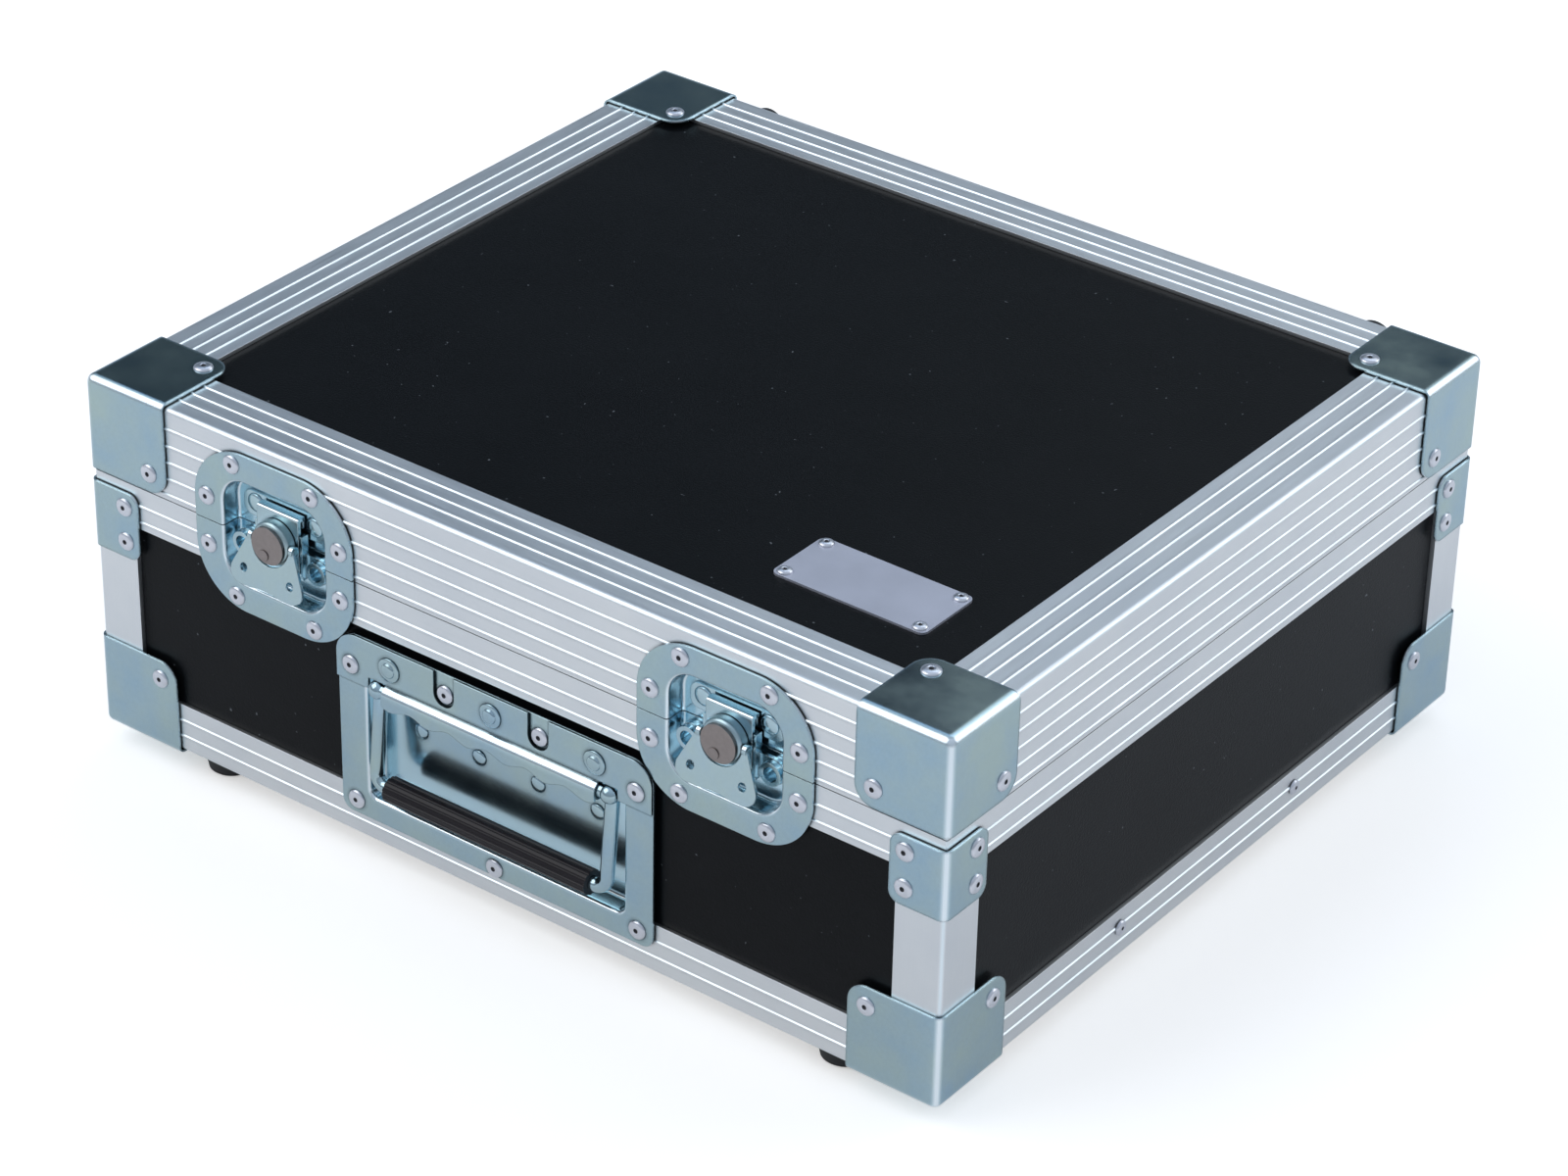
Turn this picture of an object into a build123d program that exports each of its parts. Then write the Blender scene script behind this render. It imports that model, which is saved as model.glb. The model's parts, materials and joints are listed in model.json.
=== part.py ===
from build123d import *
import os
from math import cos, pi, radians, sin

# Aluminium-edged accessory case: laminate panels in ribbed extrusions, a hinged lid, two recessed turn
# latches with a folding wing, and a recessed swing handle.
# Millimetres, +Z up, front towards -Y. The rubber feet stand on z = 0 and the origin is under the middle.

# Whole case, over the aluminium
case_width = 425.0
case_depth = 369.0
case_height = 162.4
seam_height = 119.6
seam_gap = 0.4

# Rubber feet
foot_height = 10.0
foot_diameter = 23.0
foot_tip_diameter = 19.0
foot_edge_chamfer = 1.2
foot_screw_diameter = 9.0
foot_screw_depth = 4.0
foot_side_inset = 54.0
bottom_foot_inset = 16.5
lid_foot_height = 147.0
base_foot_height = 12.0

# Extrusions: an outer skin with low ribs, an inner skin, and a slot that holds the panel's edge
skin = 1.7
inner_skin = 1.5
rib_height = 0.5
rib_base = 1.6
rib_crest = 0.6
slide_gap = 0.1
panel_thickness = 7.0
flange_width = 30.0
inner_lip = 18.0
edge_radius = 2.0
corner_relief = 1.5
lid_rib_drops = (9.7, 17.5, 25.1, 32.7, 40.3)
flange_rib_insets = (9.3, 16.5, 23.7)
rim_bottom = 100.0
rim_inner_bottom = 103.0
rim_web_height = 111.0
rim_rib_heights = (103.4, 110.8)
lower_height = 23.3
lower_rib_heights = (8.0, 15.6)

# Tongue on the base and the groove that it enters in the lid
groove_width = 4.2
groove_depth = 5.2
tongue_thickness = 2.3
tongue_height = 3.8
tongue_clearance = 0.8
tongue_chamfer = 0.6

# Corner posts, pressed steel corners and braces
post_leg = 22.0
post_thickness = 2.2
steel = 1.2
corner_leg = 41.2
corner_rivet_inset = 32.6
corner_bend_radius = 3.6
corner_inner_radius = 1.4
brace_leg = 24.5
brace_low = 84.8
brace_high = 115.3
brace_round = 5.0
brace_rivet_inset = 17.6
brace_rivet_heights = (92.6, 108.6)

# Rivets
rivet_diameter = 8.2
rivet_top_diameter = 5.6
rivet_height = 1.3
badge_rivet_diameter = 6.4
lower_rivet_spread = 63.0
lower_rivet_height = 15.0

# The latches and the handle share a centre line that lies a little left of the middle
hardware_middle = -1.0

# Recessed latches. Heights from here on are over the latch's own centre line, where its halves meet.
latch_offset = 112.4
latch_rise = 0.8
latch_width = 82.6
latch_height = 72.0
latch_round = 26.0
latch_opening_width = 53.2
latch_opening_height = 46.4
latch_opening_round = 12.0
latch_side_rivet = (34.9, 11.0)
latch_end_rivet = (20.7, 30.2)
dish_depth = 8.1
dish_bend = 1.6
lip_radius = 1.8
cut_gap = 0.3

# Latch mechanism. Depths are measured behind the aluminium's face, so what stands proud is negative.
spindle_rise = 2.1
spindle_diameter = 6.0
spindle_head_diameter = 16.4
spindle_head_front = -4.8
spindle_head_back = -3.2
spindle_dot = (-1.7, -4.6)
spindle_dot_diameter = 4.6
spindle_dot_height = 0.4
drum_diameter = 19.0
drum_back = 1.5
drum_round = 1.8
spindle_end_depth = 6.1
pin_diameter = 2.4
pin_depth = -1.2
pin_reach = 12.0
cam_diameter = 12.4
cam_offset = 2.5
running_gap = 0.05
side_gap = 0.3
hook_depth = 1.8
hook_thickness = 1.7
hook_width = 21.7
hook_top = 15.0
hook_strip = 2.4
hook_lip_depth = 5.8
hook_lip_height = 1.8
hook_bend = 1.4
hook_play = 0.8
keeper_gap = 0.4
keeper_width = 44.0
keeper_low = 5.0
keeper_high = 16.0
keeper_round = 4.0
keeper_nose_width = 19.0
keeper_nose_low = 9.0
keeper_plate = 1.5
keeper_rivet = (15.6, 11.3)
mech_depth = 4.4
mech_plate = 1.5
mech_width = 48.0
mech_low = -12.4
mech_ear_top = -1.0
mech_ear_round = 4.8
mech_high = 7.4
mech_rail = 1.2
mech_rail_depth = 2.2
mech_ear = (19.5, -6.6)
eyelet_diameter = 10.0
eyelet_bore = 6.4
eyelet_front = 1.6
wing_tilt = 12.0
wing_back = 0.2
wing_thickness = 1.3
wing_lobe = (13.4, -16.0)
wing_lobe_radius = 5.4
wing_cut_radius = 9.8
wing_arm = 11.7
wing_scallop_radius = 34.0
wing_scallop_rise = 0.9
wing_hole = (12.2, -14.2)
wing_hole_diameter = 3.8
knuckle_diameter = 4.4

# Recessed handle
handle_width = 158.7
handle_low = 12.3
handle_high = 96.8
handle_top_round = 10.0
handle_low_round = 5.0
handle_opening_width = 130.0
handle_opening_low = 22.6
handle_opening_high = 80.6
handle_opening_round = 4.0
handle_rivet_spread = 71.9
handle_rivet_low = 18.6
handle_rivet_high = 83.0
handle_middle_rivet = 16.2
hinge_plate_low = 75.3
rod_diameter = 6.0
rod_bend = 5.0
sleeve_wall = 1.1
sleeve_length = 107.6
sleeve_strip_low = 78.0
pivot_depth = -1.4
pivot_height = 76.0
knob_diameter = 8.0
arm_top_depth = 0.5
arm_drop = 42.7
arm_spread = 58.6
grip_depth = -3.7
grip_diameter = 10.8
grip_length = 103.0
grip_groove_count = 14
grip_groove_radius = 0.7
grip_stub = 8.0
wave_low = 72.2
wave_count = 11
wave_height = 1.3
dome_flange_diameter = 10.4
dome_diameter = 6.4
dome_flange_height = 0.7
dome_height = 1.8
dome_spread = 51.8
dome_place = 88.0
notch_rivet_spread = 23.8
notch_rivet_rise = 11.4
notch_width = 10.5
notch_flare = 2.0
pan_rivet_pitch = 29.9
pan_rivet_height = 57.2
pan_rivet_diameter = 7.0

# Back hinges
hinge_side_inset = 104.5
hinge_width = 64.0
hinge_leaf_height = 30.0
hinge_leaf = 1.5
hinge_axis_out = 5.0
hinge_knuckle_diameter = 8.0
hinge_knuckles = 5
hinge_knuckle_gap = 0.3
hinge_web = 3.0
hinge_web_overlap = 1.1
hinge_clearance = 0.4
hinge_pin_diameter = 4.0
hinge_pin_head = 6.4
hinge_pin_head_length = 1.5
hinge_rivet_spread = 24.0
hinge_rivet_height = 17.0

# Badge plate on the lid
badge_width = 71.0
badge_depth = 33.0
badge_thickness = 1.0
badge_round = 3.0
badge_side_inset = 87.2
badge_front_inset = 70.8
badge_rivet = (31.4, 13.0)

# Foam
foam_gap = 0.3
foam_floor = 18.0
foam_wall = 22.0
foam_divider = 16.0
pocket_round = 8.0
left_pocket_width = 158.0
camera_pocket_depth = 178.0
lens_pocket_depth = 132.0
foam_top_gap = 1.2
lid_foam_side_gap = 1.0

# Worked out from the sizes above
skin_back = rib_height + skin
panel_face = skin_back + slide_gap
panel_back = panel_face + panel_thickness
inner_face = panel_back + slide_gap
wall_depth = inner_face + inner_skin
base_z = foot_height
seam_z = base_z + seam_height
top_z = base_z + case_height
lid_low = seam_height + seam_gap / 2
deck_top = seam_height - seam_gap / 2
dish_back = dish_depth + steel
front_reach = grip_diameter / 2 - grip_depth
back_reach = foot_height
middle_y = (front_reach - back_reach) / 2
front_y = middle_y - case_depth / 2
back_y = middle_y + case_depth / 2
lid_panel_top = case_height - panel_face
lid_slot_low = lid_panel_top - panel_thickness - slide_gap
groove_back = skin_back + groove_width
tongue_face = skin_back + tongue_clearance
tongue_back = tongue_face + tongue_thickness
pin_bore = pin_diameter + 2 * running_gap
sleeve_diameter = rod_diameter + 2 * running_gap + 2 * sleeve_wall
latch_middle = seam_height + latch_rise
latch_z = base_z + latch_middle
latch_places = {"left": hardware_middle - latch_offset, "right": hardware_middle + latch_offset}
foot_offset = case_width / 2 - foot_side_inset
hinge_offset = case_width / 2 - hinge_side_inset
notch_rivet_height = pivot_height + notch_rivet_rise
badge_x = case_width / 2 - badge_side_inset

inward_of = {
    "front": Vector(0, 1, 0),
    "right": Vector(-1, 0, 0),
    "back": Vector(0, -1, 0),
    "left": Vector(1, 0, 0),
}
side_signs = {"left": -1, "right": 1}
saved_parts = {}


def save(part, name):
    """Labels one finished piece and writes its file."""
    part.label = name
    saved_parts[name] = part
    export_step(part, f"parts/{name}.step")


def side_length(side):
    return case_width if side in ("front", "back") else case_depth


def side_plane(side):
    """Section plane in the middle of a side: x runs inward from the outer face, y is height over the base."""
    inward = inward_of[side]
    half = (case_depth if side in ("front", "back") else case_width) / 2
    origin = Vector(0, middle_y, base_z) - inward * half
    return Plane(origin=origin, x_dir=inward, z_dir=inward.cross(Vector(0, 0, 1)))


def face_plane(side, along, height, out=0.0):
    """Plane on a side's outer face: x runs along it, y is up, and its normal points away from the case."""
    inward = inward_of[side]
    run = inward.cross(Vector(0, 0, 1))
    half = (case_depth if side in ("front", "back") else case_width) / 2
    origin = Vector(0, middle_y, base_z + height) - inward * (half + out) + run * along
    return Plane(origin=origin, x_dir=run, z_dir=inward * -1)


def lid_plane(x, inset_from_front, height):
    """Level plane at a height over the base."""
    return Plane(origin=(x, front_y + inset_from_front, base_z + height), x_dir=(1, 0, 0), z_dir=(0, 0, 1))


def wall_rib(height):
    return [
        (rib_height, height - rib_base / 2),
        (0, height - rib_crest / 2),
        (0, height + rib_crest / 2),
        (rib_height, height + rib_base / 2),
    ]


def flange_rib(inset, low, high):
    return [
        (inset - rib_base / 2, low),
        (inset - rib_crest / 2, high),
        (inset + rib_crest / 2, high),
        (inset + rib_base / 2, low),
    ]


def lid_section():
    """Lid extrusion: ribbed wall and flange, panel slot under the flange and the groove at the seam."""
    top = case_height - rib_height
    inner_wall = groove_back + inner_skin
    lip_low = lid_slot_low - inner_skin
    with BuildSketch() as section:
        with BuildLine():
            Polyline(
                (rib_height, lid_low),
                (rib_height, top),
                (flange_width, top),
                (flange_width, top - skin),
                (skin_back, top - skin),
                (skin_back, lid_slot_low),
                (inner_lip, lid_slot_low),
                (inner_lip, lip_low),
                (inner_wall, lip_low),
                (inner_wall, lid_low),
                (groove_back, lid_low),
                (groove_back, seam_height + groove_depth),
                (skin_back, seam_height + groove_depth),
                (skin_back, lid_low),
                close=True,
            )
        make_face()
        fillet(section.vertices().sort_by(Axis.X)[:2].sort_by(Axis.Y)[-1], edge_radius)
        chamber_low = seam_height + groove_depth + inner_skin
        with Locations(((skin_back + groove_back) / 2, (chamber_low + lip_low) / 2)):
            Rectangle(groove_width, lip_low - chamber_low, mode=Mode.SUBTRACT)
        for drop in lid_rib_drops:
            with BuildLine():
                Polyline(*wall_rib(case_height - drop), close=True)
            make_face()
        for inset in flange_rib_insets:
            with BuildLine():
                Polyline(*flange_rib(inset, top, case_height), close=True)
            make_face()
    return section.sketch


def rim_section():
    """Base rim extrusion: ribbed skin over the panel's top edge, a hollow deck and the tongue on it."""
    tongue_top = seam_height + tongue_height
    with BuildSketch() as section:
        with BuildLine():
            Polyline(
                (rib_height, rim_bottom),
                (rib_height, deck_top),
                (tongue_face, deck_top),
                (tongue_face, tongue_top - tongue_chamfer),
                (tongue_face + tongue_chamfer, tongue_top),
                (tongue_back - tongue_chamfer, tongue_top),
                (tongue_back, tongue_top - tongue_chamfer),
                (tongue_back, deck_top),
                (wall_depth, deck_top),
                (wall_depth, rim_inner_bottom),
                (inner_face, rim_inner_bottom),
                (inner_face, rim_web_height),
                (skin_back, rim_web_height),
                (skin_back, rim_bottom),
                close=True,
            )
        make_face()
        chamber_low = rim_web_height + inner_skin
        chamber_high = deck_top - skin
        with Locations(((skin_back + inner_face) / 2, (chamber_low + chamber_high) / 2)):
            Rectangle(inner_face - skin_back, chamber_high - chamber_low, mode=Mode.SUBTRACT)
        for height in rim_rib_heights:
            with BuildLine():
                Polyline(*wall_rib(height), close=True)
            make_face()
    return section.sketch


def lower_section():
    """Bottom edge extrusion: a square tube with outer flanges and inner lips, one slot for each panel."""
    with BuildSketch() as section:
        with BuildLine():
            Polyline(
                (rib_height, rib_height),
                (rib_height, lower_height),
                (skin_back, lower_height),
                (skin_back, wall_depth),
                (inner_face, wall_depth),
                (inner_face, inner_lip),
                (wall_depth, inner_lip),
                (wall_depth, wall_depth),
                (inner_lip, wall_depth),
                (inner_lip, inner_face),
                (wall_depth, inner_face),
                (wall_depth, skin_back),
                (flange_width, skin_back),
                (flange_width, rib_height),
                close=True,
            )
        make_face()
        fillet(section.vertices().sort_by(Axis.X)[:2].sort_by(Axis.Y)[0], edge_radius)
        with Locations(((skin_back + inner_face) / 2, (skin_back + inner_face) / 2)):
            Rectangle(inner_face - skin_back, inner_face - skin_back, mode=Mode.SUBTRACT)
        for height in lower_rib_heights:
            with BuildLine():
                Polyline(*wall_rib(height), close=True)
            make_face()
        for inset in flange_rib_insets:
            with BuildLine():
                Polyline(*flange_rib(inset, rib_height, 0), close=True)
            make_face()
    return section.sketch


def front_cut():
    """Space that the two latch dishes and the handle dish take in the front wall, up to its inner skin."""
    around = 2 * steel + 2 * cut_gap
    handle_middle = (handle_opening_low + handle_opening_high) / 2
    with BuildPart() as cut:
        with BuildSketch(face_plane("front", 0, 0, steel)):
            for x in latch_places.values():
                with Locations((x, latch_middle)):
                    Rectangle(latch_opening_width + around, latch_opening_height + around)
            with Locations((hardware_middle, handle_middle)):
                Rectangle(handle_opening_width + around, handle_opening_high - handle_opening_low + around)
        extrude(amount=-(inner_face + steel))
    return cut.part


def mitred_bar(side, section):
    """One extrusion along a side, mitred at both ends, with its outer tips taken off under the corners."""
    plane = side_plane(side)
    length = side_length(side)
    with BuildPart() as bar:
        with BuildSketch(plane):
            add(section)
        extrude(amount=length / 2, both=True)
        for end in (1, -1):
            corner = plane.origin + plane.z_dir * (end * length / 2)
            split(bisect_by=Plane(origin=corner, z_dir=plane.z_dir * end + plane.x_dir), keep=Keep.BOTTOM)
            relieved = corner - plane.z_dir * (end * corner_relief)
            split(bisect_by=Plane(origin=relieved, z_dir=plane.z_dir * end - plane.x_dir), keep=Keep.BOTTOM)
        if side == "front":
            add(front_cut(), mode=Mode.SUBTRACT)
    return bar.part


def top_panel():
    with BuildPart() as panel:
        with BuildSketch(Plane(origin=(0, middle_y, base_z + lid_panel_top))):
            Rectangle(case_width - 2 * panel_face, case_depth - 2 * panel_face)
        extrude(amount=-panel_thickness)
    return panel.part


def bottom_panel():
    inset = wall_depth + slide_gap
    with BuildPart() as panel:
        with BuildSketch(Plane(origin=(0, middle_y, base_z + panel_face))):
            Rectangle(case_width - 2 * inset, case_depth - 2 * inset)
        extrude(amount=panel_thickness)
    return panel.part


def wall_panel(side):
    """One wall panel. Front and back stand between the two side panels."""
    low = wall_depth + slide_gap
    high = rim_web_height - slide_gap
    trim = panel_back + slide_gap if side in ("front", "back") else panel_face
    with BuildPart() as panel:
        with BuildSketch(face_plane(side, 0, (low + high) / 2, -panel_face)):
            Rectangle(side_length(side) - 2 * trim, high - low)
        extrude(amount=-panel_thickness)
        if side == "front":
            add(front_cut(), mode=Mode.SUBTRACT)
    return panel.part


def corner_post(sx, sy):
    """Plain aluminium angle over a vertical edge, between the lower extrusion and the rim."""
    x = sx * case_width / 2
    y = middle_y + sy * case_depth / 2
    with BuildPart() as post:
        with BuildSketch(Plane.XY.offset(base_z + lower_height + slide_gap)) as outline:
            with BuildLine():
                Polyline(
                    (x, y),
                    (x - sx * post_leg, y),
                    (x - sx * post_leg, y - sy * post_thickness),
                    (x - sx * post_thickness, y - sy * post_thickness),
                    (x - sx * post_thickness, y - sy * post_leg),
                    (x, y - sy * post_leg),
                    close=True,
                )
            make_face()
            fillet(outline.vertices().sort_by_distance((x, y, base_z))[0], edge_radius)
        extrude(amount=rim_bottom - lower_height - 2 * slide_gap)
    return post.part


def touches(edge, point):
    return min((edge @ 0 - point).length, (edge @ 1 - point).length) < 1e-4


def pressed_corner():
    """Steel corner in its own frame: the case's corner is the origin, and the case lies towards +x +y +z."""
    size = corner_leg + steel
    with BuildPart() as corner:
        for plane in (
            Plane(origin=(0, 0, 0), x_dir=(1, 0, 0), z_dir=(0, 0, -1)),
            Plane(origin=(0, 0, 0), x_dir=(0, 1, 0), z_dir=(-1, 0, 0)),
            Plane(origin=(0, 0, 0), x_dir=(0, 0, 1), z_dir=(0, -1, 0)),
        ):
            # The second direction of each plane points away from the case, so it is negative here.
            with BuildSketch(plane) as face:
                with Locations((size / 2 - steel, -(size / 2 - steel))):
                    Rectangle(size, size)
                free = face.vertices().sort_by(Axis.X)[-2:].sort_by(Axis.Y)[0]
                fillet(free, corner_leg - corner_rivet_inset)
            extrude(amount=steel)
        apex = Vector(-steel, -steel, -steel)
        fillet(corner.edges().filter_by(lambda edge: touches(edge, apex)), corner_bend_radius)
        inside = Vector(0, 0, 0)
        fillet(corner.edges().filter_by(lambda edge: touches(edge, inside)), corner_inner_radius)
    return corner.part


def placed_corner(corner, sx, sy, sz):
    """The pressed corner turned to one of the case's eight corners."""
    shape = corner
    if sx > 0:
        shape = mirror(shape, about=Plane.YZ, mode=Mode.PRIVATE)
    if sy > 0:
        shape = mirror(shape, about=Plane.XZ, mode=Mode.PRIVATE)
    if sz > 0:
        shape = mirror(shape, about=Plane.XY, mode=Mode.PRIVATE)
    spot = (sx * case_width / 2, middle_y + sy * case_depth / 2, top_z if sz > 0 else base_z)
    with BuildPart() as placed:
        with Locations(spot):
            add(shape)
    return placed.part


def corner_brace(sx, sy):
    """Two-legged steel plate over the joint between the rim and a post."""
    x = sx * case_width / 2
    y = middle_y + sy * case_depth / 2
    height = brace_high - brace_low
    out_x = x + sx * steel
    out_y = y + sy * steel
    with BuildPart() as brace:
        with BuildSketch(Plane.XY.offset(base_z + brace_low)) as outline:
            with BuildLine():
                Polyline(
                    (out_x, out_y),
                    (x - sx * brace_leg, out_y),
                    (x - sx * brace_leg, y),
                    (x, y),
                    (x, y - sy * brace_leg),
                    (out_x, y - sy * brace_leg),
                    close=True,
                )
            make_face()
            fillet(outline.vertices().sort_by_distance((out_x, out_y, 0))[0], corner_bend_radius)
            fillet(outline.vertices().sort_by_distance((x, y, 0))[0], corner_inner_radius)
        extrude(amount=height)
        across = brace.edges().filter_by(lambda edge: abs(edge.length - steel) < 1e-4)
        far = brace_leg - 0.1
        ends = across.filter_by(lambda edge: max(abs(edge.center().X - x), abs(edge.center().Y - y)) > far)
        fillet(ends, brace_round)
    return brace.part


def rivet_heads(rows):
    """Rivet heads as one group: each row is a plane with the head's diameter."""
    with BuildPart() as heads:
        for plane, diameter in rows:
            scale = diameter / rivet_diameter
            with Locations(Location(plane)):
                Cone(
                    diameter / 2,
                    rivet_top_diameter / 2 * scale,
                    rivet_height,
                    align=(Align.CENTER, Align.CENTER, Align.MIN),
                )
    return heads.part


def flanged_domes(planes):
    """Wide heads with a flat ring round a raised middle."""
    rise = dome_height - dome_flange_height
    radius = dome_diameter / 2
    with BuildPart() as domes:
        for plane in planes:
            with BuildSketch(plane):
                Circle(dome_flange_diameter / 2)
            extrude(amount=dome_flange_height)
            with Locations(Location(plane.offset(dome_flange_height))):
                Cone(radius, radius - rise, rise, align=(Align.CENTER, Align.CENTER, Align.MIN))
    return domes.part


def latch_plane(x, height, depth):
    """Plane at a depth in a latch, at a height over the latch's centre line, facing out of the case."""
    return face_plane("front", x, latch_middle + height, -depth)


def latch_dish(x, upper):
    """Half of a recessed latch dish: flange, rounded pan and rolled lip, cut at the seam."""
    with BuildPart() as dish:
        with BuildSketch(latch_plane(x, 0, 0)):
            RectangleRounded(latch_width, latch_height, latch_round)
        extrude(amount=steel)
        with BuildSketch(latch_plane(x, 0, 0)):
            RectangleRounded(
                latch_opening_width + 2 * steel, latch_opening_height + 2 * steel, latch_opening_round + steel
            )
        extrude(amount=-dish_back)
        back = dish.faces().sort_by(Axis.Y)[-1].edges()
        fillet(back, dish_bend + steel)
        with BuildSketch(latch_plane(x, 0, -steel)):
            RectangleRounded(latch_opening_width, latch_opening_height, latch_opening_round)
        extrude(amount=-(dish_depth + steel), mode=Mode.SUBTRACT)
        floor_y = front_y + dish_depth
        fillet(dish.edges().filter_by_position(Axis.Y, floor_y - 0.01, floor_y + 0.01), dish_bend)
        lip_y = front_y - steel
        lip = dish.edges().filter_by_position(Axis.Y, lip_y - 0.01, lip_y + 0.01)
        reach = latch_opening_width / 2 + 0.1
        rise = latch_opening_height / 2 + 0.1
        fillet(
            lip.filter_by(
                lambda edge: abs(edge.center().X - x) < reach and abs(edge.center().Z - latch_z) < rise
            ),
            lip_radius,
        )
        kept = Keep.TOP if upper else Keep.BOTTOM
        half_gap = seam_gap / 2 if upper else -seam_gap / 2
        split(bisect_by=Plane.XY.offset(latch_z + half_gap), keep=kept)
    return dish.part


def keeper(x):
    """Strike plate on the lid's half of the dish, with the nose that the hook bears on."""
    with BuildPart() as strike:
        with BuildSketch(latch_plane(x, (keeper_low + keeper_high) / 2, dish_depth)):
            RectangleRounded(keeper_width, keeper_high - keeper_low, keeper_round)
        extrude(amount=keeper_plate)
        nose_high = hook_top - hook_lip_height
        nose_depth = hook_lip_depth + keeper_gap
        with BuildSketch(latch_plane(x, (keeper_nose_low + nose_high) / 2, dish_depth)):
            Rectangle(keeper_nose_width, nose_high - keeper_nose_low)
        extrude(amount=dish_depth - nose_depth)
    return strike.part


def mechanism_plate(x):
    """Plate on two tall eyelets that carries the spindle and guides the hook between its rails."""
    ear_x, ear_z = mech_ear
    ears = [(-ear_x, ear_z), (ear_x, ear_z)]
    rail_x = hook_width / 2 + side_gap + mech_rail / 2
    with BuildPart() as plate:
        with BuildSketch(latch_plane(x, 0, mech_depth)):
            with Locations((0, (mech_low + mech_ear_top) / 2)):
                RectangleRounded(mech_width, mech_ear_top - mech_low, mech_ear_round)
            with Locations((0, (mech_low + mech_high) / 2)):
                Rectangle(2 * rail_x + mech_rail, mech_high - mech_low)
        extrude(amount=-mech_plate)
        with BuildSketch(latch_plane(x, (mech_low + mech_high) / 2, mech_depth)):
            with Locations((-rail_x, 0), (rail_x, 0)):
                Rectangle(mech_rail, mech_high - mech_low)
        extrude(amount=mech_depth - mech_rail_depth)
        with BuildSketch(latch_plane(x, 0, dish_depth)):
            with Locations(*ears):
                Circle(eyelet_diameter / 2)
        extrude(amount=dish_depth - eyelet_front)
        with BuildSketch(latch_plane(x, 0, 0)):
            with Locations(*ears):
                Circle(eyelet_bore / 2)
            with Locations((0, spindle_rise)):
                Circle(spindle_diameter / 2 + running_gap)
        extrude(amount=-dish_depth, mode=Mode.SUBTRACT)
    return plate.part


def spindle(x):
    """Turned spindle: capped drum on a cross pin, an eccentric cam in the hook's slot, and the shank."""
    dot_x, dot_z = spindle_dot
    with BuildPart() as turned:
        with BuildSketch(latch_plane(x, spindle_rise, drum_back)):
            Circle(drum_diameter / 2)
        extrude(amount=drum_back - spindle_head_back)
        fillet(turned.faces().sort_by(Axis.Y)[0].edges(), drum_round)
        with BuildSketch(latch_plane(x, spindle_rise, drum_back)):
            Circle(spindle_head_diameter / 2)
        extrude(amount=drum_back - spindle_head_front)
        with BuildSketch(latch_plane(x + dot_x, spindle_rise + dot_z, spindle_head_front)):
            Circle(spindle_dot_diameter / 2)
        extrude(amount=spindle_dot_height)
        with BuildSketch(latch_plane(x, spindle_rise - cam_offset, drum_back)):
            Circle(cam_diameter / 2)
        extrude(amount=-(hook_depth + hook_thickness - drum_back))
        with BuildSketch(latch_plane(x, spindle_rise, drum_back)):
            Circle(spindle_diameter / 2)
        extrude(amount=-(spindle_end_depth - drum_back))
        with BuildSketch(Plane(origin=(x, front_y + pin_depth, latch_z + spindle_rise), z_dir=(1, 0, 0))):
            Circle(pin_diameter / 2)
        extrude(amount=pin_reach, both=True)
    return turned.part


def hook(x):
    """Draw plate with a wide slot for the cam and a lip bent back over the keeper."""
    slot_half = cam_diameter / 2 + hook_play
    slot_middle = spindle_rise - cam_offset
    low = slot_middle - slot_half - hook_strip
    with BuildPart() as draw:
        with BuildSketch(latch_plane(x, 0, hook_depth)):
            with Locations((0, (low + hook_top) / 2)):
                Rectangle(hook_width, hook_top - low)
            with Locations((0, slot_middle)):
                Rectangle(2 * (cam_offset + cam_diameter / 2 + side_gap), 2 * slot_half, mode=Mode.SUBTRACT)
        extrude(amount=-hook_thickness)
        with BuildSketch(latch_plane(x, hook_top - hook_lip_height / 2, hook_depth)):
            Rectangle(hook_width, hook_lip_height)
        extrude(amount=-(hook_lip_depth - hook_depth))
        bend = draw.edges().filter_by(Axis.X).sort_by(Axis.Z)[-2:].sort_by(Axis.Y)[0]
        fillet(bend, hook_bend)
    return draw.part


def wing(x):
    """Folding wing: two knuckles on the cross pin, a round cut for the drum and two lobes below."""
    lobe_x, lobe_z = wing_lobe
    hole_x, hole_z = wing_hole
    low = lobe_z - wing_lobe_radius
    tip_radius = wing_arm - wing_cut_radius
    tilt = radians(wing_tilt)
    pin_y = front_y + pin_depth
    pin_z = latch_z + spindle_rise
    # The plate leans out of the dish towards its lower edge.
    leaning = Plane(origin=(x, pin_y, pin_z), x_dir=(1, 0, 0), z_dir=(0, -cos(tilt), sin(tilt)))
    with BuildPart() as plate:
        with BuildSketch(leaning.offset(wing_back)):
            with Locations((-wing_cut_radius, 0), (wing_cut_radius, 0)):
                Circle(tip_radius)
            with Locations((-lobe_x, lobe_z), (lobe_x, lobe_z)):
                Circle(wing_lobe_radius)
            make_hull()
            with Locations((0, low + wing_scallop_rise - wing_scallop_radius)):
                Circle(wing_scallop_radius, mode=Mode.SUBTRACT)
            Circle(wing_cut_radius, mode=Mode.SUBTRACT)
            with Locations((-hole_x, hole_z), (hole_x, hole_z)):
                Circle(wing_hole_diameter / 2, mode=Mode.SUBTRACT)
        extrude(amount=wing_thickness)
        for sign in (-1, 1):
            with BuildSketch(Plane(origin=(x + sign * wing_cut_radius, pin_y, pin_z), z_dir=(sign, 0, 0))):
                Circle(knuckle_diameter / 2)
            extrude(amount=wing_arm - wing_cut_radius)
        with BuildSketch(Plane(origin=(x, pin_y, pin_z), z_dir=(1, 0, 0))):
            Circle(pin_bore / 2)
        extrude(amount=pin_reach, both=True, mode=Mode.SUBTRACT)
    return plate.part


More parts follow.
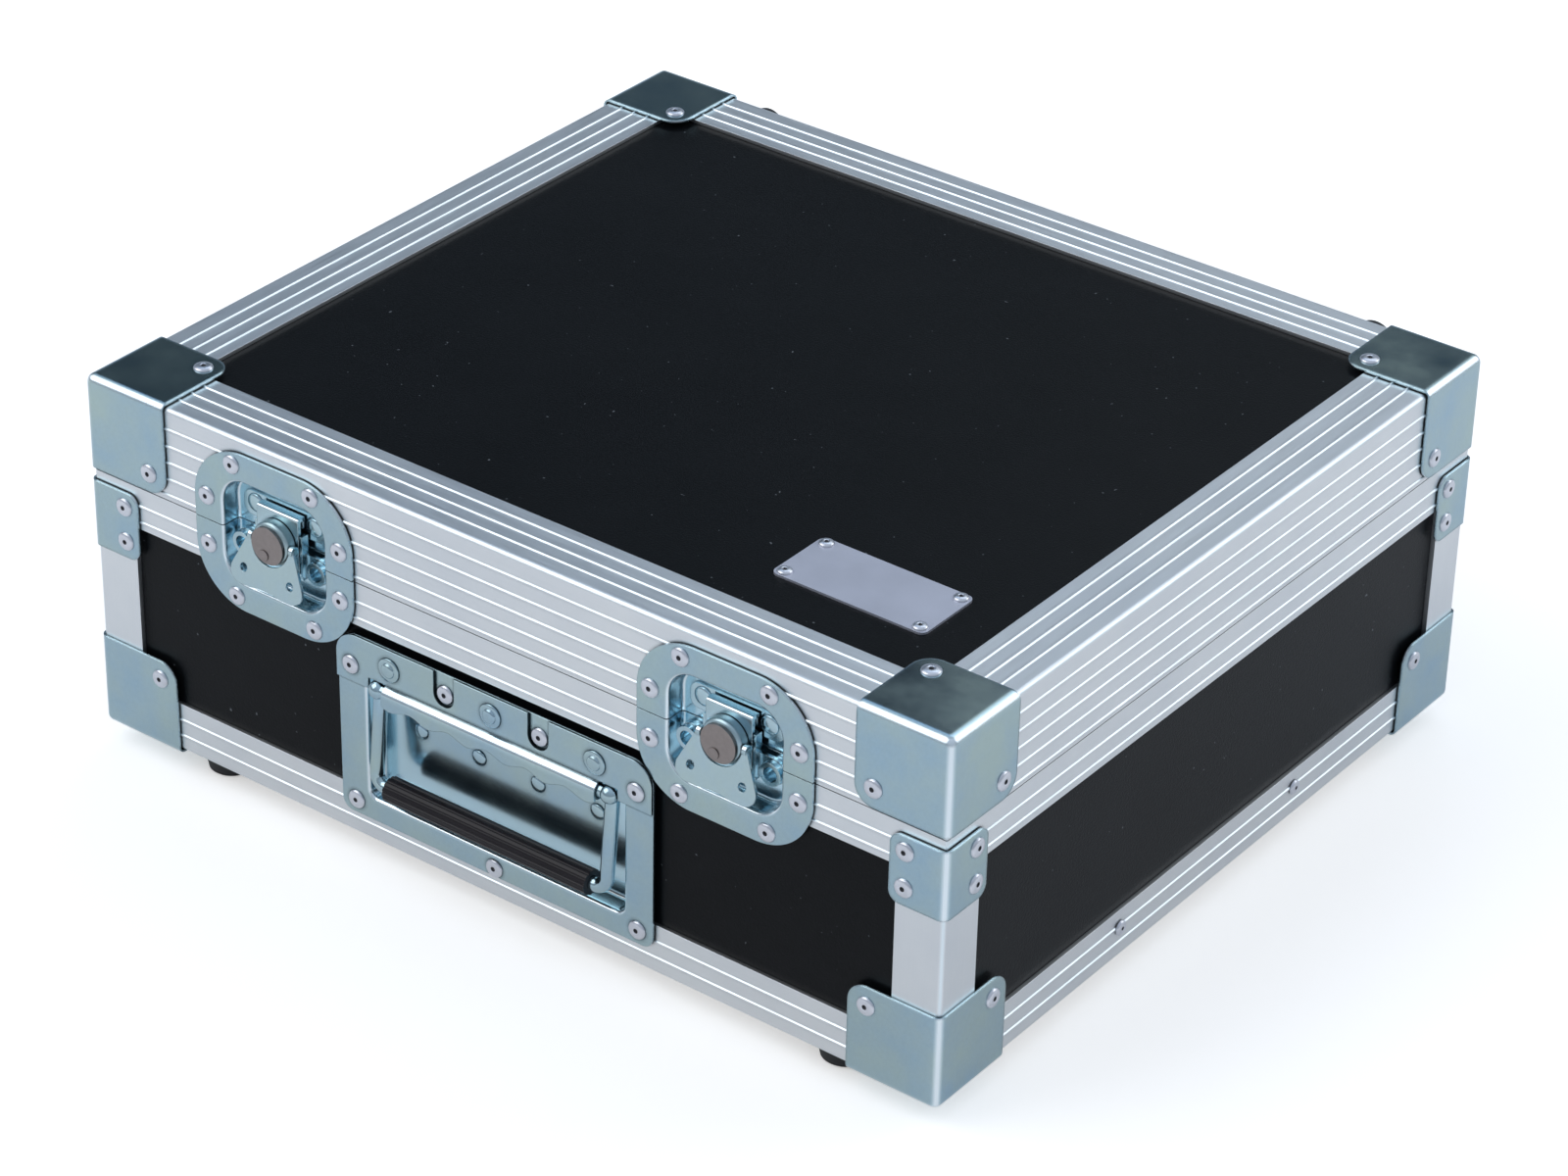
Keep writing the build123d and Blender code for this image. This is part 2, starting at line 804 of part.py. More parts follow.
def handle_outline(low, high):
    """Rounded outline of the handle's flange or hinge plate, over its height."""
    with BuildSketch() as outline:
        with Locations((0, (low + high) / 2)):
            Rectangle(handle_width, high - low)
        fillet(outline.vertices().sort_by(Axis.Y)[-2:], handle_top_round)
        if low == handle_low:
            fillet(outline.vertices().sort_by(Axis.Y)[:2], handle_low_round)
    return outline.sketch


def handle_dish():
    """Pressed dish of the recessed handle."""
    opening_middle = (handle_opening_low + handle_opening_high) / 2
    opening_height = handle_opening_high - handle_opening_low
    with BuildPart() as dish:
        with BuildSketch(face_plane("front", hardware_middle, 0)):
            add(handle_outline(handle_low, handle_high))
        extrude(amount=steel)
        with BuildSketch(face_plane("front", hardware_middle, opening_middle)):
            RectangleRounded(
                handle_opening_width + 2 * steel, opening_height + 2 * steel, handle_opening_round + steel
            )
        extrude(amount=-dish_back)
        fillet(dish.faces().sort_by(Axis.Y)[-1].edges(), dish_bend + steel)
        with BuildSketch(face_plane("front", hardware_middle, opening_middle, steel)):
            RectangleRounded(handle_opening_width, opening_height, handle_opening_round)
        extrude(amount=-(dish_depth + steel), mode=Mode.SUBTRACT)
        floor_y = front_y + dish_depth
        fillet(dish.edges().filter_by_position(Axis.Y, floor_y - 0.01, floor_y + 0.01), dish_bend)
        lip_y = front_y - steel
        lip = dish.edges().filter_by_position(Axis.Y, lip_y - 0.01, lip_y + 0.01)
        middle_z = base_z + opening_middle
        fillet(
            lip.filter_by(
                lambda edge: abs(edge.center().X - hardware_middle) < handle_opening_width / 2 + 0.1
                and abs(edge.center().Z - middle_z) < opening_height / 2 + 0.1
            ),
            lip_radius,
        )
    return dish.part


def handle_hinge_plate():
    """Plate over the dish's top edge: two rivet notches and a sleeve round the rod with a wavy lower edge."""
    pivot_y = front_y + pivot_depth
    pivot_z = base_z + pivot_height
    sleeve_front = sleeve_diameter / 2 - pivot_depth
    half = sleeve_length / 2
    notch_middle = (handle_high + notch_rivet_height) / 2 + notch_flare
    notch_length = handle_high - notch_rivet_height + 2 * notch_flare
    cleared_width = 2 * (arm_spread + knob_diameter / 2 + cut_gap)
    cleared_high = pivot_height + knob_diameter / 2 + cut_gap
    with BuildPart() as plate:
        with BuildSketch(face_plane("front", hardware_middle, 0, steel)):
            add(handle_outline(hinge_plate_low, handle_high))
            for sign in (-1, 1):
                notch_x = sign * notch_rivet_spread
                with Locations((notch_x, notch_middle)):
                    Rectangle(notch_width, notch_length, mode=Mode.SUBTRACT)
                with Locations((notch_x, notch_rivet_height)):
                    Circle(notch_width / 2, mode=Mode.SUBTRACT)
            with Locations((0, (hinge_plate_low + cleared_high) / 2)):
                Rectangle(cleared_width, cleared_high - hinge_plate_low, mode=Mode.SUBTRACT)
            with Locations((0, (sleeve_strip_low + cleared_high) / 2)):
                Rectangle(sleeve_length, cleared_high - sleeve_strip_low)
        extrude(amount=steel)
        with BuildSketch(Plane(origin=(hardware_middle, pivot_y, pivot_z), z_dir=(1, 0, 0))):
            Circle(sleeve_diameter / 2)
        extrude(amount=half, both=True)
        step = sleeve_length / wave_count
        crests = [
            (-half + step * (i + 0.5), wave_low + (wave_height if i % 2 else -wave_height))
            for i in range(wave_count)
        ]
        with BuildSketch(face_plane("front", hardware_middle, 0, sleeve_front - steel)):
            with BuildLine():
                edge = Spline((-half, wave_low), *crests, (half, wave_low))
                Polyline(edge @ 1, (half, pivot_height), (-half, pivot_height), edge @ 0)
            make_face()
        extrude(amount=steel)
        with BuildSketch(Plane(origin=(hardware_middle, pivot_y, pivot_z), z_dir=(1, 0, 0))):
            Circle(rod_diameter / 2 + running_gap)
        extrude(amount=half, both=True, mode=Mode.SUBTRACT)
    return plate.part


def handle_bail():
    """Bent rod: the pivot run in the sleeve, a knob at each end of it, and two arms turned into the grip."""
    pivot_y = front_y + pivot_depth
    pivot_z = base_z + pivot_height
    top_y = front_y + arm_top_depth
    low_y = front_y + grip_depth
    low_z = pivot_z - arm_drop
    stub = arm_spread - grip_length / 2 + grip_stub
    with BuildPart() as bail:
        with BuildSketch(Plane(origin=(hardware_middle, pivot_y, pivot_z), z_dir=(1, 0, 0))):
            Circle(rod_diameter / 2)
        extrude(amount=arm_spread, both=True)
        for sign in (-1, 1):
            arm_x = hardware_middle + sign * arm_spread
            stub_x = arm_x - sign * stub
            bend = (arm_x, low_y, low_z)
            with BuildLine():
                FilletPolyline((stub_x, low_y, low_z), bend, (arm_x, top_y, pivot_z), radius=rod_bend)
            with BuildSketch(Plane(origin=(stub_x, low_y, low_z), z_dir=(sign, 0, 0))):
                Circle(rod_diameter / 2)
            sweep()
            with Locations((arm_x, pivot_y, pivot_z)):
                Sphere(knob_diameter / 2)
            with Locations((arm_x, top_y, pivot_z)):
                Sphere(rod_diameter / 2)
    return bail.part


def handle_grip():
    """Ribbed sleeve on the rod's lower run."""
    low_z = base_z + pivot_height - arm_drop
    start_x = hardware_middle - grip_length / 2
    grip_plane = Plane(origin=(start_x, front_y + grip_depth, low_z), z_dir=(1, 0, 0))
    grip_radius = grip_diameter / 2
    with BuildPart() as grip:
        with BuildSketch(grip_plane):
            Circle(grip_radius)
            with PolarLocations(grip_radius + grip_groove_radius / 2, grip_groove_count):
                Circle(grip_groove_radius, mode=Mode.SUBTRACT)
            Circle(rod_diameter / 2 + running_gap, mode=Mode.SUBTRACT)
        extrude(amount=grip_length)
    return grip.part


def rubber_foot(plane):
    """Tapered rubber foot with a screw recess, standing on a plane."""
    with BuildPart() as foot:
        with BuildSketch(plane):
            Circle(foot_diameter / 2)
        with BuildSketch(plane.offset(foot_height)):
            Circle(foot_tip_diameter / 2)
        loft()
        tip = foot.faces().sort_by_distance(plane.offset(foot_height).origin)[0]
        chamfer(tip.edges(), foot_edge_chamfer)
        with BuildSketch(plane.offset(foot_height)):
            Circle(foot_screw_diameter / 2)
        extrude(amount=-foot_screw_depth, mode=Mode.SUBTRACT)
    return foot.part


def foot_group(planes):
    """Several feet that one node holds, each a solid of its own."""
    with BuildPart() as feet:
        for plane in planes:
            add(rubber_foot(plane))
    return feet.part


def hinge_leaf_part(x, upper):
    """One leaf of a back hinge with its share of the knuckles."""
    sign = 1 if upper else -1
    axis_y = back_y + hinge_axis_out
    clear = hinge_knuckle_diameter / 2 + hinge_clearance
    pitch = hinge_width / hinge_knuckles
    own = range(1, hinge_knuckles, 2) if upper else range(0, hinge_knuckles, 2)
    web_far = clear + hinge_web_overlap
    with BuildPart() as leaf:
        with BuildSketch(Plane(origin=(x - hinge_width / 2, 0, 0), x_dir=(0, 1, 0), z_dir=(1, 0, 0))):
            with Locations((back_y + hinge_leaf / 2, seam_z + sign * (clear + hinge_leaf_height) / 2)):
                Rectangle(hinge_leaf, hinge_leaf_height - clear)
        extrude(amount=hinge_width)
        for i in own:
            start = x - hinge_width / 2 + i * pitch + hinge_knuckle_gap / 2
            with BuildSketch(Plane(origin=(start, 0, 0), x_dir=(0, 1, 0), z_dir=(1, 0, 0))):
                with Locations((axis_y, seam_z)):
                    Circle(hinge_knuckle_diameter / 2)
                with Locations((back_y + hinge_axis_out / 2, seam_z + sign * (web_far - hinge_web / 2))):
                    Rectangle(hinge_axis_out, hinge_web)
            extrude(amount=pitch - hinge_knuckle_gap)
        with BuildSketch(Plane(origin=(x, axis_y, seam_z), z_dir=(1, 0, 0))):
            Circle(hinge_pin_diameter / 2 + running_gap)
        extrude(amount=hinge_width, both=True, mode=Mode.SUBTRACT)
    return leaf.part


def hinge_pin(x):
    """Headed pin through the knuckles."""
    axis_y = back_y + hinge_axis_out
    with BuildPart() as pin:
        with BuildSketch(Plane(origin=(x, axis_y, seam_z), z_dir=(1, 0, 0))):
            Circle(hinge_pin_diameter / 2)
        extrude(amount=hinge_width / 2 + hinge_pin_head_length, both=True)
        for sign in (-1, 1):
            start = Plane(origin=(x + sign * hinge_width / 2, axis_y, seam_z), z_dir=(sign, 0, 0))
            with BuildSketch(start):
                Circle(hinge_pin_head / 2)
            extrude(amount=hinge_pin_head_length)
    return pin.part


def badge_plate():
    with BuildPart() as badge:
        with BuildSketch(lid_plane(badge_x, badge_front_inset, lid_panel_top)):
            RectangleRounded(badge_width, badge_depth, badge_round)
        extrude(amount=badge_thickness)
    return badge.part


def foam_half_sizes():
    inset = wall_depth + foam_gap
    return case_width / 2 - inset, case_depth / 2 - inset


def pockets():
    """Foam pockets as middle x, middle y, width and depth, in the foam's own plan."""
    half_x, half_y = foam_half_sizes()
    left = -half_x + foam_wall
    right = half_x - foam_wall
    front = -half_y + foam_wall
    back = half_y - foam_wall
    split_x = left + left_pocket_width
    camera_front = back - camera_pocket_depth
    lens_front = back - lens_pocket_depth
    right_start = split_x + foam_divider
    lens_width = (right - right_start - foam_divider) / 2
    boxes = [
        (left, split_x, camera_front, back),
        (left, split_x, front, camera_front - foam_divider),
        (right_start, right_start + lens_width, lens_front, back),
        (right - lens_width, right, lens_front, back),
        (right_start, right, front, lens_front - foam_divider),
    ]
    return [((a + b) / 2, (c + d) / 2, b - a, d - c) for a, b, c, d in boxes]


def base_foam():
    """Cut foam that fills the base, with pockets for the things carried."""
    half_x, half_y = foam_half_sizes()
    low = wall_depth + foam_gap
    high = deck_top - foam_top_gap
    with BuildPart() as foam:
        with BuildSketch(Plane(origin=(0, middle_y, base_z + low))):
            Rectangle(2 * half_x, 2 * half_y)
        extrude(amount=high - low)
        for x, y, width, depth in pockets():
            with BuildSketch(Plane(origin=(x, middle_y + y, base_z + high))):
                RectangleRounded(width, depth, pocket_round)
            extrude(amount=-(high - low - foam_floor), mode=Mode.SUBTRACT)
    return foam.part


def lid_foam():
    """Foam pad in the lid that holds the contents down."""
    inset = dish_back + lid_foam_side_gap
    low = lid_low + foam_top_gap
    high = lid_slot_low - inner_skin - foam_gap
    with BuildPart() as foam:
        with BuildSketch(Plane(origin=(0, middle_y, base_z + low))):
            Rectangle(case_width - 2 * inset, case_depth - 2 * inset)
        extrude(amount=high - low)
    return foam.part


def corner_rivet_planes(sx, sy, upper):
    """The three rivet places of one steel corner."""
    side_x = "right" if sx > 0 else "left"
    side_y = "back" if sy > 0 else "front"
    across_x = case_width / 2 - corner_rivet_inset
    across_y = case_depth / 2 - corner_rivet_inset
    height = case_height - corner_rivet_inset if upper else corner_rivet_inset
    run_y = inward_of[side_y].cross(Vector(0, 0, 1)).X
    run_x = inward_of[side_x].cross(Vector(0, 0, 1)).Y
    level = top_z + steel if upper else base_z - steel
    flat = Plane(origin=(sx * across_x, middle_y + sy * across_y, level), z_dir=(0, 0, 1 if upper else -1))
    return [
        face_plane(side_y, sx * across_x * run_y, height, steel),
        face_plane(side_x, sy * across_y * run_x, height, steel),
        flat,
    ]


def brace_rivet_planes(sx, sy):
    side_x = "right" if sx > 0 else "left"
    side_y = "back" if sy > 0 else "front"
    across_x = case_width / 2 - brace_rivet_inset
    across_y = case_depth / 2 - brace_rivet_inset
    run_y = inward_of[side_y].cross(Vector(0, 0, 1)).X
    run_x = inward_of[side_x].cross(Vector(0, 0, 1)).Y
    planes = []
    for height in brace_rivet_heights:
        planes.append(face_plane(side_y, sx * across_x * run_y, height, steel))
        planes.append(face_plane(side_x, sy * across_y * run_x, height, steel))
    return planes


def latch_rivet_planes(upper):
    sign = 1 if upper else -1
    planes = []
    for x in latch_places.values():
        for dx, dz in (latch_side_rivet, latch_end_rivet):
            for side in (-1, 1):
                planes.append(latch_plane(x + side * dx, sign * dz, -steel))
    return planes


def hinge_rivet_planes(upper):
    height = seam_height + (hinge_rivet_height if upper else -hinge_rivet_height)
    xs = [sign * hinge_offset + side * hinge_rivet_spread for sign in (-1, 1) for side in (-1, 1)]
    return [face_plane("back", x, height, hinge_leaf) for x in xs]


corner_signs = [(-1, -1), (1, -1), (-1, 1), (1, 1)]
corner_names = {(-1, -1): "front_left", (1, -1): "front_right", (-1, 1): "back_left", (1, 1): "back_right"}


def lid_rivets():
    rows = []
    for sx, sy in corner_signs:
        rows += [(plane, rivet_diameter) for plane in corner_rivet_planes(sx, sy, True)]
    rows += [(plane, rivet_diameter) for plane in latch_rivet_planes(True)]
    dx, dy = badge_rivet
    for sx, sy in corner_signs:
        spot = lid_plane(badge_x + sx * dx, badge_front_inset + sy * dy, lid_panel_top + badge_thickness)
        rows.append((spot, badge_rivet_diameter))
    across, up = keeper_rivet
    for x in latch_places.values():
        for side in (-1, 1):
            rows.append((latch_plane(x + side * across, up, dish_depth - keeper_plate), rivet_diameter))
    rows += [(plane, rivet_diameter) for plane in hinge_rivet_planes(True)]
    return rivet_heads(rows)


def base_rivets():
    rows = []
    for sx, sy in corner_signs:
        rows += [(plane, rivet_diameter) for plane in corner_rivet_planes(sx, sy, False)]
        rows += [(plane, rivet_diameter) for plane in brace_rivet_planes(sx, sy)]
    rows += [(plane, rivet_diameter) for plane in latch_rivet_planes(False)]
    for side in ("left", "right"):
        for sign in (-1, 1):
            spot = face_plane(side, sign * lower_rivet_spread, lower_rivet_height)
            rows.append((spot, badge_rivet_diameter))
    rows += [(plane, rivet_diameter) for plane in hinge_rivet_planes(False)]
    return rivet_heads(rows)


def handle_rivets():
    """Rivets of the recessed handle, on the flange, on the hinge plate and in the pan."""
    rows = []
    for sign in (-1, 1):
        x = hardware_middle + sign * handle_rivet_spread
        notch_x = hardware_middle + sign * notch_rivet_spread
        rows.append((face_plane("front", x, handle_rivet_high, 2 * steel), rivet_diameter))
        rows.append((face_plane("front", x, handle_rivet_low, steel), rivet_diameter))
        rows.append((face_plane("front", notch_x, notch_rivet_height, steel), rivet_diameter))
    rows.append((face_plane("front", hardware_middle, handle_middle_rivet, steel), rivet_diameter))
    for i in (-1.5, -0.5, 0.5, 1.5):
        x = hardware_middle + i * pan_rivet_pitch
        rows.append((face_plane("front", x, pan_rivet_height, -dish_depth), pan_rivet_diameter))
    dome_xs = [hardware_middle + i * dome_spread for i in (-1, 0, 1)]
    with BuildPart() as rivets:
        add(rivet_heads(rows))
        add(flanged_domes([face_plane("front", x, dome_place, 2 * steel) for x in dome_xs]))
    return rivets.part


os.makedirs("parts", exist_ok=True)

lid_profile = lid_section()
rim_profile = rim_section()
lower_profile = lower_section()
for side in ("front", "right", "back", "left"):
    save(mitred_bar(side, lid_profile), f"lid_extrusion_{side}")
    save(mitred_bar(side, rim_profile), f"rim_extrusion_{side}")
    save(mitred_bar(side, lower_profile), f"lower_extrusion_{side}")
    save(wall_panel(side), f"panel_{side}")
save(top_panel(), "lid_panel")
save(bottom_panel(), "panel_bottom")

steel_corner = pressed_corner()
for sx, sy in corner_signs:
    where = corner_names[(sx, sy)]
    save(placed_corner(steel_corner, sx, sy, 1), f"lid_corner_{where}")
    save(placed_corner(steel_corner, sx, sy, -1), f"base_corner_{where}")

with BuildPart() as posts:
    for sx, sy in corner_signs:
        add(corner_post(sx, sy))
save(posts.part, "corner_posts")

with BuildPart() as braces:
    for sx, sy in corner_signs:
        add(corner_brace(sx, sy))
save(braces.part, "corner_braces")

for side, sign in side_signs.items():
    latch_x = latch_places[side]
    save(latch_dish(latch_x, True), f"{side}_latch_upper_dish")
    save(latch_dish(latch_x, False), f"{side}_latch_lower_dish")
    save(keeper(latch_x), f"{side}_latch_keeper")
    save(mechanism_plate(latch_x), f"{side}_latch_mechanism_plate")
    save(spindle(latch_x), f"{side}_latch_spindle")
    save(hook(latch_x), f"{side}_latch_hook")
    save(wing(latch_x), f"{side}_latch_wing")
    hinge_x = sign * hinge_offset
    save(hinge_leaf_part(hinge_x, True), f"{side}_hinge_lid_leaf")
    save(hinge_leaf_part(hinge_x, False), f"{side}_hinge_base_leaf")

with BuildPart() as pins:
    for sign in (-1, 1):
        add(hinge_pin(sign * hinge_offset))
save(pins.part, "hinge_pins")

save(handle_dish(), "handle_dish")
save(handle_hinge_plate(), "handle_hinge_plate")
save(handle_bail(), "handle_bail")
save(handle_grip(), "handle_grip")

bottom_feet = [
    Plane(
        origin=(sx * foot_offset, middle_y + sy * (case_depth / 2 - bottom_foot_inset), base_z),
        z_dir=(0, 0, -1),
    )
    for sx, sy in corner_signs
]
back_feet = [face_plane("back", sign * foot_offset, base_foot_height) for sign in (-1, 1)]
lid_feet = [face_plane("back", sign * foot_offset, lid_foot_height) for sign in (-1, 1)]
save(foot_group(bottom_feet + back_feet), "base_feet")
save(foot_group(lid_feet), "lid_back_feet")

save(badge_plate(), "badge_plate")
save(base_foam(), "base_foam")
save(lid_foam(), "lid_foam")
save(lid_rivets(), "lid_rivets")
save(base_rivets(), "base_rivets")
save(handle_rivets(), "handle_rivets")

print(len(saved_parts), "pieces written")
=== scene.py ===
"""Looks for the camera accessory case: materials, rivets, foam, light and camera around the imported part."""

import json
import math
import random

import bmesh
import bpy
from mathutils import Matrix, Vector


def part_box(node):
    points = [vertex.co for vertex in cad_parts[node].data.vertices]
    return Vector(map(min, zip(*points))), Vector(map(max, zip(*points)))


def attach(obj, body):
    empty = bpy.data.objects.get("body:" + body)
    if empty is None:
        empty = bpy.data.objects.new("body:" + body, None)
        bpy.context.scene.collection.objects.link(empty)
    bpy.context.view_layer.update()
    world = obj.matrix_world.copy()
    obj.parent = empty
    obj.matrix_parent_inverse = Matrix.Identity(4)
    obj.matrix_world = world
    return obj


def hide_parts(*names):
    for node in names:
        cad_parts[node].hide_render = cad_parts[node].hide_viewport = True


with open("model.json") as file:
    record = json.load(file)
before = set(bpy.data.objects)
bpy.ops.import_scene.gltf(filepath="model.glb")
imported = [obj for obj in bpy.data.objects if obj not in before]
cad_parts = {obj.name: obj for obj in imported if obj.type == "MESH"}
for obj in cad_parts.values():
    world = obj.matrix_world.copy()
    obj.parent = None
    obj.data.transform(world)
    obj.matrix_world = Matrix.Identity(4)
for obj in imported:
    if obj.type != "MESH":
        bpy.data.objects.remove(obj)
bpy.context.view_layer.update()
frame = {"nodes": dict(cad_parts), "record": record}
nodes = frame["nodes"]
node_body = {name: body for body, names in frame["record"]["behaviour"]["bodies"].items() for name in names}
MM = 0.001
WELD = 1e-6


# Materials

def new_material(name):
    material = bpy.data.materials.new(name)
    material.use_nodes = True
    tree = material.node_tree
    shader = tree.nodes["Principled BSDF"]
    return material, tree, shader


def object_coordinates(tree, scale=(1.0, 1.0, 1.0)):
    coordinates = tree.nodes.new("ShaderNodeTexCoord")
    mapping = tree.nodes.new("ShaderNodeMapping")
    mapping.inputs["Scale"].default_value = scale
    tree.links.new(coordinates.outputs["Object"], mapping.inputs["Vector"])
    return mapping.outputs["Vector"]


def noise(tree, vector, scale, detail, roughness):
    texture = tree.nodes.new("ShaderNodeTexNoise")
    texture.inputs["Scale"].default_value = scale
    texture.inputs["Detail"].default_value = detail
    texture.inputs["Roughness"].default_value = roughness
    tree.links.new(vector, texture.inputs["Vector"])
    return texture.outputs["Fac"]


def ramp(tree, value, stops):
    node = tree.nodes.new("ShaderNodeValToRGB")
    elements = node.color_ramp.elements
    elements[0].position, first = stops[0]
    elements[-1].position, last = stops[-1]
    elements[0].color = (*first, 1.0)
    elements[-1].color = (*last, 1.0)
    for place, colour in stops[1:-1]:
        elements.new(place).color = (*colour, 1.0)
    tree.links.new(value, node.inputs["Fac"])
    return node.outputs["Color"]


def grey(value):
    return (value, value, value)


def mixed(tree, factor, first, second):
    """Blend of two colours. The second one is a socket or a plain colour."""
    node = tree.nodes.new("ShaderNodeMixRGB")
    tree.links.new(factor, node.inputs["Fac"])
    tree.links.new(first, node.inputs["Color1"])
    if isinstance(second, tuple):
        node.inputs["Color2"].default_value = (*second, 1.0)
    else:
        tree.links.new(second, node.inputs["Color2"])
    return node.outputs["Color"]


def maths(tree, operation, first, second):
    """Math node. The second value is a socket or a plain number."""
    node = tree.nodes.new("ShaderNodeMath")
    node.operation = operation
    tree.links.new(first, node.inputs[0])
    if isinstance(second, float):
        node.inputs[1].default_value = second
    else:
        tree.links.new(second, node.inputs[1])
    return node.outputs["Value"]


ALUMINIUM = (0.76, 0.77, 0.80)
ALUMINIUM_DULL = (0.75, 0.77, 0.79)
ALUMINIUM_CLEAR = (0.83, 0.84, 0.84)
DRAWN_ACROSS = 260.0
DRAWN_ALONG = 4.0
ZINC_BLUE = (0.38, 0.53, 0.63)
ZINC_MIDDLE = (0.43, 0.56, 0.60)
ZINC_GREEN = (0.47, 0.59, 0.57)
ZINC_ROUGHNESS = 0.17
# Painted reflection: lighter blue for recessed zinc.
ZINC_RECESS_REFLECTION = (0.58, 0.78, 0.87)
# Colour of the painted highlights on bends and edges.
PAINTED_HIGHLIGHT = (0.86, 0.94, 0.98)
CAP_BROWN = (0.30, 0.26, 0.245)
CAP_DEPTH = 1.9 * MM
LAMINATE_DARK = (0.0028, 0.0033, 0.0040)
LAMINATE_LIGHT = (0.0048, 0.0054, 0.0064)
DUST = (0.12, 0.13, 0.14)
FINE_BUMP = 0.02 * MM


def multiplied(tree, colour, factor):
    node = tree.nodes.new("ShaderNodeMixRGB")
    node.blend_type = "MULTIPLY"
    node.inputs["Fac"].default_value = 1.0
    tree.links.new(colour, node.inputs["Color1"])
    tree.links.new(factor, node.inputs["Color2"])
    return node.outputs["Color"]


def openness(tree, reach):
    """1 on an open face, and less where neighbours within reach close it in."""
    closed = tree.nodes.new("ShaderNodeAmbientOcclusion")
    closed.samples = 6
    closed.inputs["Distance"].default_value = reach
    return closed.outputs["AO"]


def painted_gap_shade(tree, colour, reach, darkest, narrow=0.40, open_face=0.92):
    """Painted shade in the gaps: the colour goes down to darkest in the narrowest ones."""
    shade = ramp(tree, openness(tree, reach), [(narrow, grey(darkest)), (open_face, grey(1.0))])
    return multiplied(tree, colour, shade)


def painted_recess_reflection(tree, colour, reach):
    """Painted reflection: recessed plate is a clearer, lighter blue, as if lit by sky light bounced inside
    the pans.
    """
    closed_in = ramp(tree, openness(tree, reach), [(0.45, grey(1.0)), (0.90, grey(0.0))])
    return mixed(tree, closed_in, colour, ZINC_RECESS_REFLECTION)


def painted_bend_highlights(tree, colour):
    """Painted highlight: lighter metal where a bend, a rib's flank or a rounded edge turns away from the flat
    faces.
    """
    geometry = tree.nodes.new("ShaderNodeNewGeometry")
    turned = tree.nodes.new("ShaderNodeVectorTransform")
    turned.vector_type = "NORMAL"
    turned.convert_from = "WORLD"
    turned.convert_to = "OBJECT"
    tree.links.new(geometry.outputs["True Normal"], turned.inputs["Vector"])
    absolute = tree.nodes.new("ShaderNodeVectorMath")
    absolute.operation = "ABSOLUTE"
    tree.links.new(turned.outputs["Vector"], absolute.inputs[0])
    split = tree.nodes.new("ShaderNodeSeparateXYZ")
    tree.links.new(absolute.outputs["Vector"], split.inputs["Vector"])
    most = split.outputs["X"]
    for axis in ("Y", "Z"):
        most = maths(tree, "MAXIMUM", most, split.outputs[axis])
    bent = ramp(tree, most, [(0.80, grey(1.0)), (0.985, grey(0.0))])
    return mixed(tree, bent, colour, PAINTED_HIGHLIGHT)


def bump(tree, shader, height, strength, distance, bevel_radius=0.0):
    node = tree.nodes.new("ShaderNodeBump")
    node.inputs["Strength"].default_value = strength
    node.inputs["Distance"].default_value = distance
    tree.links.new(height, node.inputs["Height"])
    if bevel_radius:
        edge = tree.nodes.new("ShaderNodeBevel")
        edge.inputs["Radius"].default_value = bevel_radius
        edge.samples = 4
        tree.links.new(edge.outputs["Normal"], node.inputs["Normal"])
    tree.links.new(node.outputs["Normal"], shader.inputs["Normal"])


def metal(name, colour, roughness):
    material, tree, shader = new_material(name)
    shader.inputs["Base Color"].default_value = (*colour, 1.0)
    shader.inputs["Metallic"].default_value = 1.0
    shader.inputs["Roughness"].default_value = roughness
    return material, tree, shader


def extrusion_material(name, along):
    """Anodised extrusion with fine drawn lines along its length."""
    material, tree, shader = metal(name, ALUMINIUM, 0.34)
    stretch = [DRAWN_ACROSS] * 3
    stretch[along] = DRAWN_ALONG
    lines = noise(tree, object_coordinates(tree, stretch), 9.0, 3.0, 0.6)
    cloud = noise(tree, object_coordinates(tree), 14.0, 4.0, 0.6)
    tint = ramp(tree, cloud, [(0.30, ALUMINIUM_DULL), (0.70, ALUMINIUM_CLEAR)])
    # Painted highlights on bends and rib flanks, then painted shade in the gaps.
    colour = painted_gap_shade(tree, painted_bend_highlights(tree, tint), 1.5 * MM, 0.45)
    tree.links.new(colour, shader.inputs["Base Color"])
    tree.links.new(ramp(tree, lines, [(0.35, grey(0.33)), (0.65, grey(0.45))]), shader.inputs["Roughness"])
    bump(tree, shader, lines, 0.25, FINE_BUMP, 0.25 * MM)
    return material


def zinc_colours(tree):
    """Colour and roughness of bright zinc plate: bluish and greenish clouds and a fine spangle."""
    cloud = noise(tree, object_coordinates(tree), 34.0, 4.0, 0.6)
    spangle = noise(tree, object_coordinates(tree), 700.0, 3.0, 0.7)
    tint = ramp(tree, cloud, [(0.30, ZINC_BLUE), (0.50, ZINC_MIDDLE), (0.72, ZINC_GREEN)])
    fine = ramp(tree, spangle, [(0.3, grey(0.94)), (0.7, grey(1.0))])
    rough = ramp(tree, cloud, [(0.25, grey(ZINC_ROUGHNESS - 0.04)), (0.75, grey(ZINC_ROUGHNESS + 0.06))])
    return multiplied(tree, tint, fine), rough, spangle


